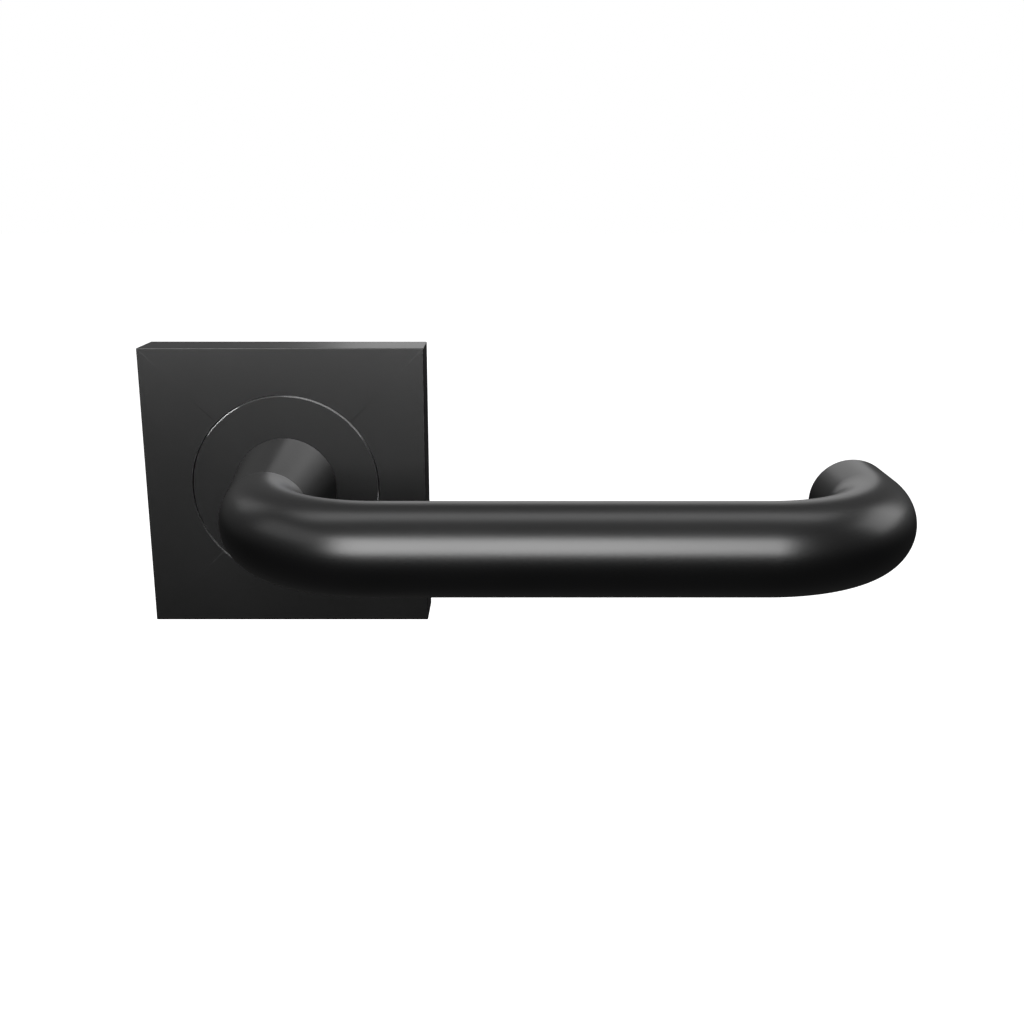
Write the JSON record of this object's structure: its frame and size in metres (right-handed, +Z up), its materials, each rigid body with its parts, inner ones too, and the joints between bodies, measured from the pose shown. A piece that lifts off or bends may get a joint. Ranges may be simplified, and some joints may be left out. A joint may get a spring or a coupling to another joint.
{
  "type": "door lever handle",
  "caption": "Satin black door lever on a square rose: a round bar that turns back towards the door, with a sprung cassette, spindle and fixings.",
  "frame": {"origin": "where the spindle's axis crosses the door's face, at the centre of the rose's back", "axes": "+X along the lever from the spindle to its free end, +Y into the door along the spindle, +Z up"},
  "size_m": [0.1439, 0.1155, 0.055],
  "materials": {
    "black_coat": "satin black coating over metal",
    "zinc": "bright zinc plate on cast and turned pieces",
    "steel": "plain steel, lightly oiled",
    "spring_steel": "blued spring steel",
    "nylon": "natural nylon"
  },
  "bodies": {
    "rose": {"rose_cover": "black_coat", "cover_disc": "black_coat", "neck_bush": "nylon", "mounting_plate": "zinc", "spring_housing": "zinc", "housing_lid": "steel", "return_spring": "spring_steel", "stop_pin_upper": "steel", "stop_pin_lower": "steel", "housing_screw_upper": "steel", "housing_screw_lower": "steel", "cover_clip_upper": "spring_steel", "cover_clip_lower": "spring_steel", "through_bolt_left": "zinc", "through_bolt_right": "zinc", "bolt_sleeve_left": "zinc", "bolt_sleeve_right": "zinc", "wood_screw_upper": "zinc", "wood_screw_lower": "zinc"},
    "lever": {"grip_tube": "black_coat", "end_plug": "black_coat", "neck": "black_coat", "grub_screw": "steel", "spindle": "zinc", "drive_disc": "zinc", "retaining_ring": "spring_steel", "thrust_washer": "nylon"}
  },
  "joints": [
    {"name": "lever_turn", "type": "hinge", "parent": "rose", "child": "lever", "pos_m": [0, 0, 0], "axis": [0, 1, 0], "range_deg": [0, 45], "stiffness_Nm_per_rad": 0.84, "springref_deg": -34.38, "deforming": ["return_spring"]}
  ]
}
